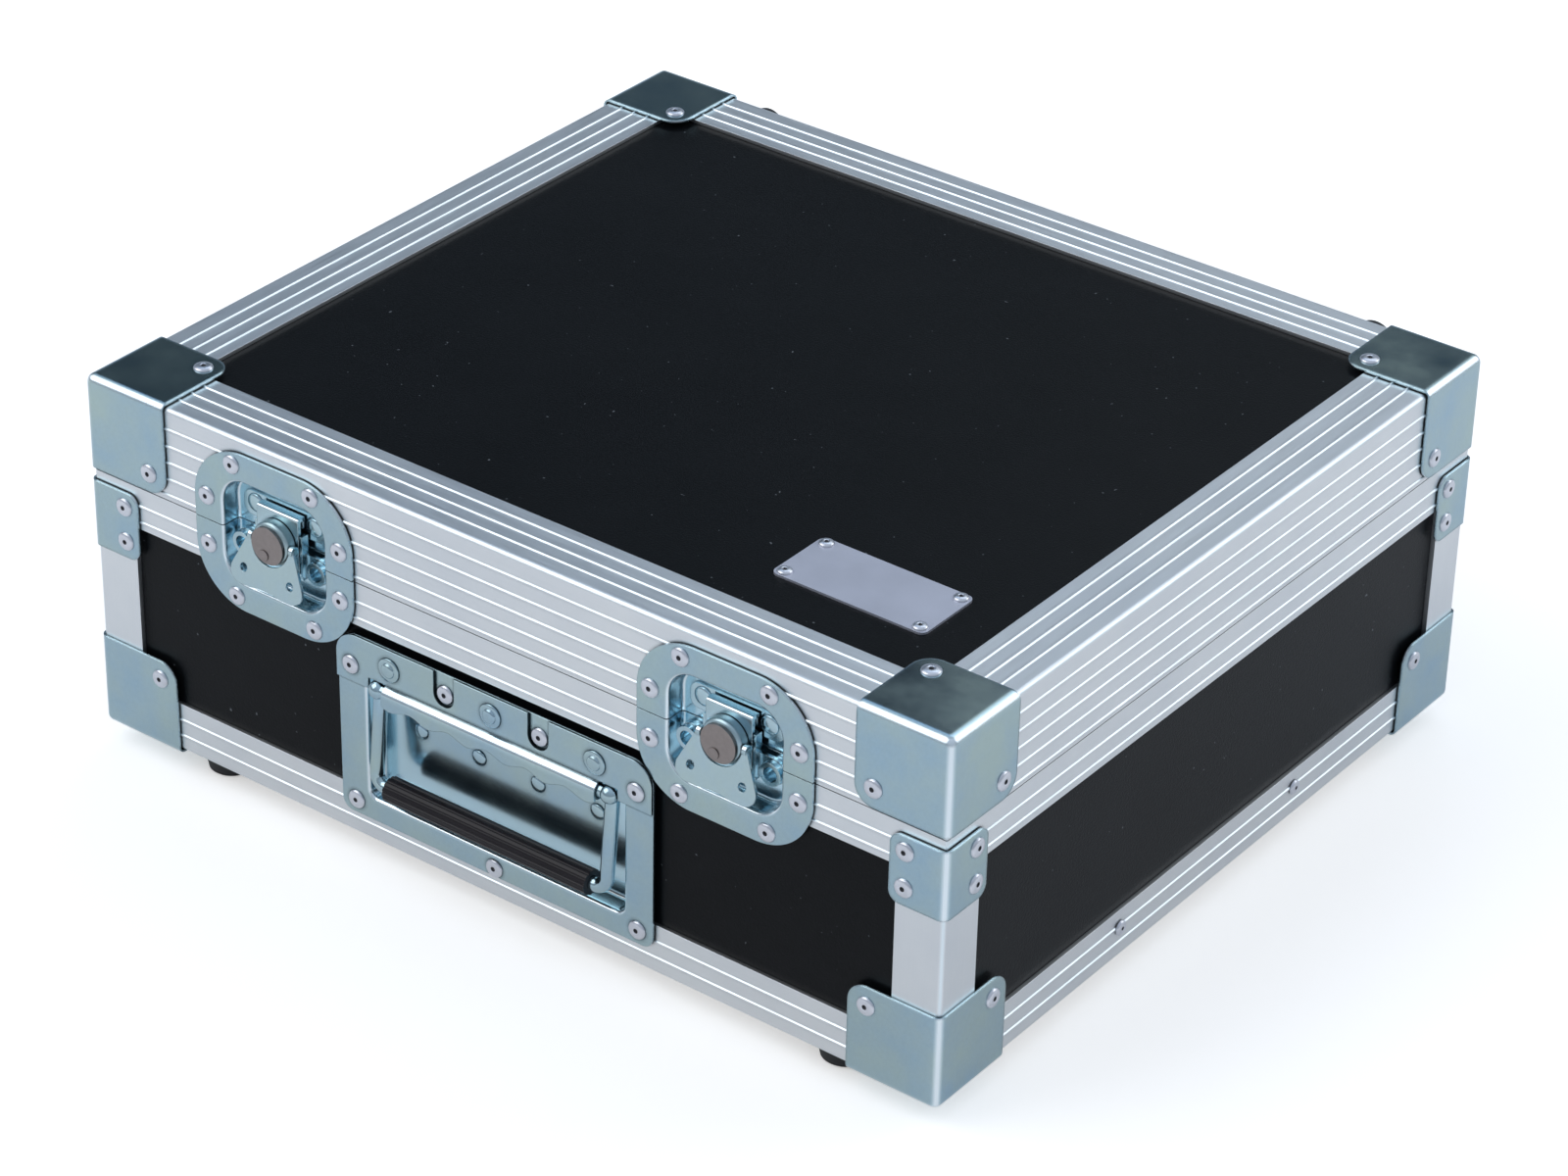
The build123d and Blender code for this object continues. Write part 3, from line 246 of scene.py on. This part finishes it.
def zinc_material(name, with_edge_highlights, edge_radius, deep_gap_shade=False):
    """Bright zinc plate with a soft mirror, a painted lighter-blue reflection in its recesses and painted
    shade in its gaps. Pressed sheet also gets painted highlights on its bends and edges.
    """
    material, tree, shader = metal(name, ZINC_MIDDLE, ZINC_ROUGHNESS)
    colour, rough, spangle = zinc_colours(tree)
    # Painted reflection of sky light inside the recesses.
    colour = painted_recess_reflection(tree, colour, 14.0 * MM)
    # Painted highlights on the bends and edges of pressed sheet.
    if with_edge_highlights:
        colour = painted_bend_highlights(tree, colour)
    # Painted shade in the gaps; the deep version on the handle paints a dark shadow line under the hinge
    # plate's wavy edge.
    if deep_gap_shade:
        colour = painted_gap_shade(tree, colour, 2.0 * MM, 0.10, 0.70, 0.99)
    else:
        colour = painted_gap_shade(tree, colour, 1.6 * MM, 0.35)
    tree.links.new(colour, shader.inputs["Base Color"])
    tree.links.new(rough, shader.inputs["Roughness"])
    bump(tree, shader, spangle, 0.10, FINE_BUMP, edge_radius)
    return material


def spindle_material(cap_back):
    """Zinc drum with a burnished brown-grey cap in front of cap_back."""
    material, tree, shader = metal("spindle_steel", CAP_BROWN, 0.3)
    zinc_colour, _, spangle = zinc_colours(tree)
    coordinates = tree.nodes.new("ShaderNodeTexCoord")
    split = tree.nodes.new("ShaderNodeSeparateXYZ")
    tree.links.new(coordinates.outputs["Object"], split.inputs["Vector"])
    in_front = maths(tree, "LESS_THAN", split.outputs["Y"], cap_back)
    turned = noise(tree, object_coordinates(tree, (1.0, 0.05, 1.0)), 500.0, 3.0, 0.6)
    darker = tuple(0.94 * c for c in CAP_BROWN)
    lighter = tuple(1.06 * c for c in CAP_BROWN)
    brown = ramp(tree, turned, [(0.3, darker), (0.7, lighter)])
    # Painted shade in the gaps of the drum and cap.
    colour = painted_gap_shade(tree, mixed(tree, in_front, zinc_colour, brown), 1.0 * MM, 0.4)
    tree.links.new(colour, shader.inputs["Base Color"])
    tree.links.new(ramp(tree, turned, [(0.3, grey(0.28)), (0.7, grey(0.36))]), shader.inputs["Roughness"])
    bump(tree, shader, spangle, 0.10, FINE_BUMP, 0.25 * MM)
    return material


def laminate_material():
    """Black textured laminate with a fine grain and a little pale dust."""
    material, tree, shader = new_material("black_laminate")
    coordinates = object_coordinates(tree)
    grain = noise(tree, coordinates, 1000.0, 3.0, 0.7)
    cloud = noise(tree, coordinates, 18.0, 5.0, 0.65)
    specks = noise(tree, coordinates, 420.0, 1.0, 0.5)
    base = ramp(tree, cloud, [(0.3, LAMINATE_DARK), (0.75, LAMINATE_LIGHT)])
    dust = ramp(tree, specks, [(0.785, grey(0.0)), (0.82, grey(1.0))])
    tree.links.new(mixed(tree, dust, base, DUST), shader.inputs["Base Color"])
    shader.inputs["Roughness"].default_value = 0.30
    shader.inputs["Specular IOR Level"].default_value = 0.11
    bump(tree, shader, grain, 0.8, 0.12 * MM)
    return material


def plain_material(
    name, colour, roughness, metallic=0.0, grain_scale=600.0, grain_depth=0.05, specular=0.5, cloudiness=0.2
):
    material, tree, shader = new_material(name)
    shader.inputs["Specular IOR Level"].default_value = specular
    coordinates = object_coordinates(tree)
    grain = noise(tree, coordinates, grain_scale, 4.0, 0.6)
    cloud = noise(tree, coordinates, grain_scale / 12, 3.0, 0.6)
    dark = tuple(c * (1 - cloudiness) for c in colour)
    light = tuple(min(1.0, c * (1 + cloudiness)) for c in colour)
    tree.links.new(ramp(tree, cloud, [(0.3, dark), (0.7, light)]), shader.inputs["Base Color"])
    shader.inputs["Metallic"].default_value = metallic
    spread = ramp(tree, cloud, [(0.3, grey(roughness * 0.9)), (0.7, grey(min(1.0, roughness * 1.1)))])
    tree.links.new(spread, shader.inputs["Roughness"])
    bump(tree, shader, grain, 0.4, grain_depth * MM)
    return material


def paint(name, material):
    mesh = nodes[name].data
    mesh.materials.clear()
    mesh.materials.append(material)


def smooth_by_angle(obj, degrees=35.0):
    """Smooth shading with the sharp edges kept sharp."""
    mesh = obj.data
    mesh.shade_smooth()
    mesh.set_sharp_from_angle(angle=math.radians(degrees))


aluminium_x = extrusion_material("aluminium_along_x", 0)
aluminium_y = extrusion_material("aluminium_along_y", 1)
aluminium_z = extrusion_material("aluminium_along_z", 2)
zinc_sheet = zinc_material("zinc_sheet", True, 0.5 * MM)
zinc_corner = zinc_material("zinc_corner", True, 1.6 * MM)
zinc_round = zinc_material("zinc_round", False, 0.25 * MM)
# The handle's sheets get the deep painted gap shade.
zinc_handle = zinc_material("zinc_handle", True, 0.6 * MM, deep_gap_shade=True)
laminate = laminate_material()
rubber = plain_material("black_rubber", (0.012, 0.012, 0.013), 0.6)
grip_plastic = plain_material("grip_plastic", (0.011, 0.008, 0.010), 0.34, specular=0.3)
spindle_steel = spindle_material(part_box("left_latch_spindle")[0][1] + CAP_DEPTH)
rivet_metal = plain_material("rivet_aluminium", (0.72, 0.73, 0.78), 0.30, 1.0, 900.0, 0.02, cloudiness=0.08)
mandrel_metal = plain_material("mandrel_steel", (0.05, 0.05, 0.055), 0.5, 1.0, 900.0, 0.03)
badge_metal = plain_material("badge_metal", (0.56, 0.57, 0.65), 0.45, 0.6, 500.0, 0.01, cloudiness=0.04)

HANDLE_SHEETS = ("handle_dish", "handle_hinge_plate")
ROUND_PIECES = ("handle_bail", "hinge_pins", "left_latch_mechanism_plate", "right_latch_mechanism_plate")


def material_for(name):
    """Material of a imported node, or None for the foam and the rivets, which are replaced below."""
    if "extrusion" in name:
        return aluminium_x if name.endswith(("front", "back")) else aluminium_y
    if name.startswith(("panel_", "lid_panel")):
        return laminate
    if name == "corner_posts":
        return aluminium_z
    if "feet" in name:
        return rubber
    if name == "handle_grip":
        return grip_plastic
    if "spindle" in name:
        return spindle_steel
    if name == "badge_plate":
        return badge_metal
    if name in ROUND_PIECES:
        return zinc_round
    if name in HANDLE_SHEETS:
        return zinc_handle
    if name.startswith(("lid_corner", "base_corner", "corner_braces")):
        return zinc_corner
    if "foam" in name or "rivets" in name:
        return None
    return zinc_sheet


for name in nodes:
    material = material_for(name)
    if material:
        paint(name, material)
    smooth_by_angle(nodes[name])


# Rivets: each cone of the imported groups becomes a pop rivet, a plain dome or a dome on a flange

HEAD, MANDREL, PLATED = range(3)
FRONT_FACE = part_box("lid_extrusion_front")[0][1]
STEPS_AROUND = 40
FLANGED_ABOVE = 4.6 * MM
SUNK_BY = 3 * MM
SAME_PLACE = 1e-5


def islands(mesh):
    """Vertex positions of each loose part of a mesh."""
    work = bmesh.new()
    work.from_mesh(mesh)
    bmesh.ops.remove_doubles(work, verts=work.verts, dist=WELD)
    seen = set()
    found = []
    for start in work.verts:
        if start in seen:
            continue
        seen.add(start)
        queue = [start]
        part = []
        while queue:
            vert = queue.pop()
            part.append(vert.co.copy())
            for edge in vert.link_edges:
                other = edge.other_vert(vert)
                if other not in seen:
                    seen.add(other)
                    queue.append(other)
        found.append(part)
    work.free()
    return found


def rivet_place(points):
    """Seat, outward normal, head radius and head height of one rivet, from the points of its solid."""
    low = Vector([min(p[i] for p in points) for i in range(3)])
    high = Vector([max(p[i] for p in points) for i in range(3)])
    size = high - low
    axis = min(range(3), key=lambda i: size[i])
    middle = (low + high) / 2
    reach = {}
    for sign, place in ((-1, low[axis]), (1, high[axis])):
        rim = [p - middle for p in points if abs(p[axis] - place) < SAME_PLACE]
        reach[sign] = max(math.hypot(*(p[i] for i in range(3) if i != axis)) for p in rim)
    outward = 1 if reach[1] < reach[-1] else -1
    seat = middle.copy()
    seat[axis] = low[axis] if outward > 0 else high[axis]
    normal = Vector([outward if i == axis else 0 for i in range(3)])
    return seat, normal, max(reach.values()), size[axis]


def ring_of(work, radius, height):
    """One vertex on the axis, or a ring of them around it."""
    if radius <= 1e-9:
        return [work.verts.new((0, 0, height))]
    turns = [2 * math.pi * k / STEPS_AROUND for k in range(STEPS_AROUND)]
    return [work.verts.new((radius * math.cos(turn), radius * math.sin(turn), height)) for turn in turns]


def revolved(name, profile, material_of):
    """Mesh turned about Z from (radius, height) points, with a material index for each band."""
    mesh = bpy.data.meshes.new(name)
    work = bmesh.new()
    rings = [ring_of(work, radius, height) for radius, height in profile]
    for band, (inner, outer) in enumerate(zip(rings, rings[1:])):
        for k in range(STEPS_AROUND):
            after = (k + 1) % STEPS_AROUND
            if len(inner) == 1 and len(outer) == 1:
                continue
            if len(outer) == 1:
                face = work.faces.new((inner[k], inner[after], outer[0]))
            elif len(inner) == 1:
                face = work.faces.new((inner[0], outer[after], outer[k]))
            else:
                face = work.faces.new((inner[k], inner[after], outer[after], outer[k]))
            face.smooth = True
            face.material_index = material_of(band)
    bmesh.ops.recalc_face_normals(work, faces=work.faces)
    work.to_mesh(mesh)
    work.free()
    return mesh


def pop_rivet_mesh(radius, height):
    """Button head with a rounded shoulder, a small hole and the broken mandrel in it."""
    hole = 0.19 * radius
    crown = 0.42 * radius
    edge = 0.30 * height
    profile = [(radius, 0.0), (radius, 0.6 * edge), (0.985 * radius, edge)]
    steps = 8
    for k in range(1, steps + 1):
        turn = k / steps * math.pi / 2
        across = crown + (0.97 * radius - crown) * math.cos(turn)
        profile.append((across, edge + (height - edge) * math.sin(turn)))
    profile += [
        (1.75 * hole, 0.99 * height),
        (1.35 * hole, 0.88 * height),
        (hole, 0.80 * height),
        (hole, 0.45 * height),
        (0.0, 0.42 * height),
    ]
    last_band = len(profile) - 2
    return revolved("pop_rivet", profile, lambda band: MANDREL if band >= last_band - 2 else HEAD)


def dome_rivet_mesh(radius, height):
    """Plain low dome of plated steel."""
    profile = [(radius, 0.0), (radius, 0.15 * height)]
    steps = 9
    for k in range(1, steps + 1):
        turn = k / steps * math.pi / 2
        across = radius * math.cos(turn) if k < steps else 0.0
        profile.append((across, height * (0.15 + 0.85 * math.sin(turn))))
    return revolved("dome_rivet", profile, lambda band: PLATED)


def flanged_rivet_mesh(radius, height):
    """Thin round flange with a raised button in its middle."""
    button = 0.62 * radius
    flange = 0.38 * height
    profile = [(radius, 0.0), (radius, 0.7 * flange), (0.97 * radius, flange), (1.10 * button, 1.02 * flange)]
    steps = 8
    for k in range(steps + 1):
        turn = k / steps * math.pi / 2
        across = button * (0.45 + 0.55 * math.cos(turn))
        profile.append((across, flange + (height - flange) * math.sin(turn)))
    profile.append((0.0, height))
    return revolved("flanged_rivet", profile, lambda band: PLATED)


def rivet_kind(seat, radius):
    """What a rivet is: those sunk in a pan are plain domes, and the widest ones have a flange."""
    if radius > FLANGED_ABOVE:
        return flanged_rivet_mesh
    if FRONT_FACE + SUNK_BY < seat.y < 0:
        on_front = abs(seat.x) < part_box("right_latch_upper_dish")[1][0]
        return dome_rivet_mesh if on_front and seat.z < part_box("lid_panel")[0][2] else pop_rivet_mesh
    return pop_rivet_mesh


def build_rivets(node):
    """One mesh of real rivets in place of a packed rivet group."""
    random.seed(node)
    joined = bmesh.new()
    for points in islands(nodes[node].data):
        seat, normal, radius, height = rivet_place(points)
        mesh = rivet_kind(seat, radius)(radius, height)
        turn = Matrix.Rotation(random.uniform(0, 2 * math.pi), 4, "Z")
        place = Matrix.Translation(seat) @ normal.to_track_quat("Z", "Y").to_matrix().to_4x4() @ turn
        mesh.transform(place)
        joined.from_mesh(mesh)
        bpy.data.meshes.remove(mesh)
    mesh = bpy.data.meshes.new(node + "_detailed")
    joined.to_mesh(mesh)
    joined.free()
    for material in (rivet_metal, mandrel_metal, zinc_round):
        mesh.materials.append(material)
    obj = bpy.data.objects.new(node + "_detailed", mesh)
    bpy.context.scene.collection.objects.link(obj)
    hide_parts(node)
    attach(obj, node_body[node])


for group in ("lid_rivets", "base_rivets", "handle_rivets"):
    build_rivets(group)


# Foam

FOAM_EDGE = 1.5 * MM
foam_grey = plain_material("open_foam", (0.028, 0.028, 0.031), 0.95, 0.0, 700.0, 0.5)


def foam_piece(node):
    """Soft copy of a packed foam block, with rounded edges."""
    mesh = nodes[node].data.copy()
    mesh.name = node + "_soft"
    obj = bpy.data.objects.new(node + "_soft", mesh)
    bpy.context.scene.collection.objects.link(obj)
    mesh.materials.clear()
    mesh.materials.append(foam_grey)
    work = bmesh.new()
    work.from_mesh(mesh)
    bmesh.ops.remove_doubles(work, verts=work.verts, dist=WELD)
    bmesh.ops.dissolve_limit(work, angle_limit=math.radians(1), verts=work.verts, edges=work.edges)
    sharp = [e for e in work.edges if len(e.link_faces) == 2 and e.calc_face_angle() > math.radians(50)]
    bmesh.ops.bevel(work, geom=sharp, offset=FOAM_EDGE, segments=3, affect="EDGES", profile=0.5)
    work.to_mesh(mesh)
    work.free()
    smooth_by_angle(obj, 40.0)
    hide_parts(node)
    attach(obj, node_body[node])


foam_piece("base_foam")
foam_piece("lid_foam")


# Stage: floor, light, background and camera

bpy.context.scene.view_settings.view_transform = "Standard"
FLOOR_REACH = 12.0
FLOOR_LIFT = 0.46
MIRRORED = 0.15
WORLD_LEVEL = 0.55
LAMP_TARGET = (0, 0, 0.1)

# Colours of the sky over the sine of the elevation. A dark wall stands behind the case on the left.
OPEN_SKY = [
    (0.00, (0.62, 0.68, 0.76)),
    (0.40, (0.70, 0.80, 0.94)),
    (1.00, (0.95, 1.08, 1.28)),
]
DARK_WALL = [
    (0.25, (0.55, 0.66, 0.82)),
    (0.35, (0.28, 0.35, 0.42)),
    (0.42, (0.10, 0.14, 0.16)),
    (0.49, (0.09, 0.12, 0.14)),
    (0.52, (0.02, 0.025, 0.025)),
    (0.64, (0.03, 0.035, 0.035)),
    (0.70, (1.40, 1.95, 2.65)),
    (1.00, (1.80, 2.30, 2.95)),
]
WALL_DIRECTION = (-0.597, 0.802, 0.0)
WALL_EDGE = (0.45, 0.72)

# The photograph's view, solved from the straight edges of the case
AZIMUTH = 36.68
ELEVATION = 31.373
ROLL = 1.274
LENS = 110.54
SENSOR = 36.0
DISTANCE = 1996.3 * MM
TARGET_SHIFT = (-0.43 * MM, -0.32 * MM)
TARGET_HEIGHT = 67.53 * MM


def seen_directly(tree):
    """1 where a camera ray arrives and MIRRORED where one reflected or refracted by the object does."""
    path = tree.nodes.new("ShaderNodeLightPath")
    either = maths(tree, "MAXIMUM", path.outputs["Is Glossy Ray"], path.outputs["Is Transmission Ray"])
    dimmed = maths(tree, "MULTIPLY", either, MIRRORED)
    return maths(tree, "MAXIMUM", path.outputs["Is Camera Ray"], dimmed)


def floor():
    """Pale floor that looks nearly white and keeps the object's shadow."""
    mesh = bpy.data.meshes.new("floor")
    corners = [(x * FLOOR_REACH, y * FLOOR_REACH, 0) for x, y in ((-1, -1), (1, -1), (1, 1), (-1, 1))]
    mesh.from_pydata(corners, [], [(0, 1, 2, 3)])
    obj = bpy.data.objects.new("floor", mesh)
    bpy.context.scene.collection.objects.link(obj)
    material, tree, shader = new_material("pale_floor")
    shader.inputs["Base Color"].default_value = (0.90, 0.89, 0.88, 1.0)
    shader.inputs["Roughness"].default_value = 0.9
    shader.inputs["Specular IOR Level"].default_value = 0.1
    shader.inputs["Emission Color"].default_value = (1.0, 0.98, 0.95, 1.0)
    lift = maths(tree, "MULTIPLY", seen_directly(tree), FLOOR_LIFT)
    tree.links.new(lift, shader.inputs["Emission Strength"])
    mesh.materials.append(material)


def area_light(name, place, size, power, colour):
    light = bpy.data.lights.new(name, "AREA")
    light.shape = "RECTANGLE"
    light.size, light.size_y = size
    light.energy = power
    light.color = colour
    obj = bpy.data.objects.new(name, light)
    obj.location = place
    obj.rotation_euler = (Vector(LAMP_TARGET) - Vector(place)).to_track_quat("-Z", "Y").to_euler()
    bpy.context.scene.collection.objects.link(obj)


def background():
    """White to the camera. The object is lit by, and mirrors, a studio sky."""
    world = bpy.data.worlds.new("studio")
    bpy.context.scene.world = world
    world.use_nodes = True
    tree = world.node_tree
    tree.nodes.clear()
    output = tree.nodes.new("ShaderNodeOutputWorld")
    coordinates = tree.nodes.new("ShaderNodeTexCoord")
    split = tree.nodes.new("ShaderNodeSeparateXYZ")
    tree.links.new(coordinates.outputs["Generated"], split.inputs["Vector"])
    sky = ramp(tree, split.outputs["Z"], OPEN_SKY)
    wall = ramp(tree, split.outputs["Z"], DARK_WALL)
    toward = tree.nodes.new("ShaderNodeVectorMath")
    toward.operation = "DOT_PRODUCT"
    toward.inputs[1].default_value = WALL_DIRECTION
    tree.links.new(coordinates.outputs["Generated"], toward.inputs[0])
    begins, ends = WALL_EDGE
    share = ramp(tree, toward.outputs["Value"], [(begins, grey(0.0)), (ends, grey(1.0))])
    dim = tree.nodes.new("ShaderNodeBackground")
    dim.inputs["Strength"].default_value = WORLD_LEVEL
    tree.links.new(mixed(tree, share, sky, wall), dim.inputs["Color"])
    white = tree.nodes.new("ShaderNodeBackground")
    white.inputs["Color"].default_value = (1.0, 1.0, 1.0, 1.0)
    white.inputs["Strength"].default_value = 1.0
    path = tree.nodes.new("ShaderNodeLightPath")
    mix = tree.nodes.new("ShaderNodeMixShader")
    tree.links.new(path.outputs["Is Camera Ray"], mix.inputs["Fac"])
    tree.links.new(dim.outputs["Background"], mix.inputs[1])
    tree.links.new(white.outputs["Background"], mix.inputs[2])
    tree.links.new(mix.outputs["Shader"], output.inputs["Surface"])


def camera():
    azimuth, elevation, roll = (math.radians(angle) for angle in (AZIMUTH, ELEVATION, ROLL))
    low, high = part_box("lid_panel")
    across, back = ((low[i] + high[i]) / 2 + TARGET_SHIFT[i] for i in range(2))
    target = Vector((across, back, TARGET_HEIGHT))
    level = math.cos(elevation)
    sight = Vector((-math.sin(azimuth) * level, math.cos(azimuth) * level, -math.sin(elevation)))
    data = bpy.data.cameras.new("camera")
    data.lens = LENS
    data.sensor_width = SENSOR
    obj = bpy.data.objects.new("camera", data)
    bpy.context.scene.collection.objects.link(obj)
    turn = sight.to_track_quat("-Z", "Y").to_matrix().to_4x4() @ Matrix.Rotation(roll, 4, "Z")
    obj.matrix_world = Matrix.Translation(target - sight * DISTANCE) @ turn
    bpy.context.scene.camera = obj


floor()
background()
area_light("window", (-2.0, -1.9, 2.8), (3.4, 3.0), 50.0, (1.0, 0.99, 0.97))
area_light("room", (1.9, 2.5, 1.85), (2.6, 2.0), 22.0, (0.97, 0.99, 1.0))
area_light("top", (-0.2, 2.6, 2.9), (3.0, 1.6), 12.0, (0.92, 0.97, 1.0))
camera()
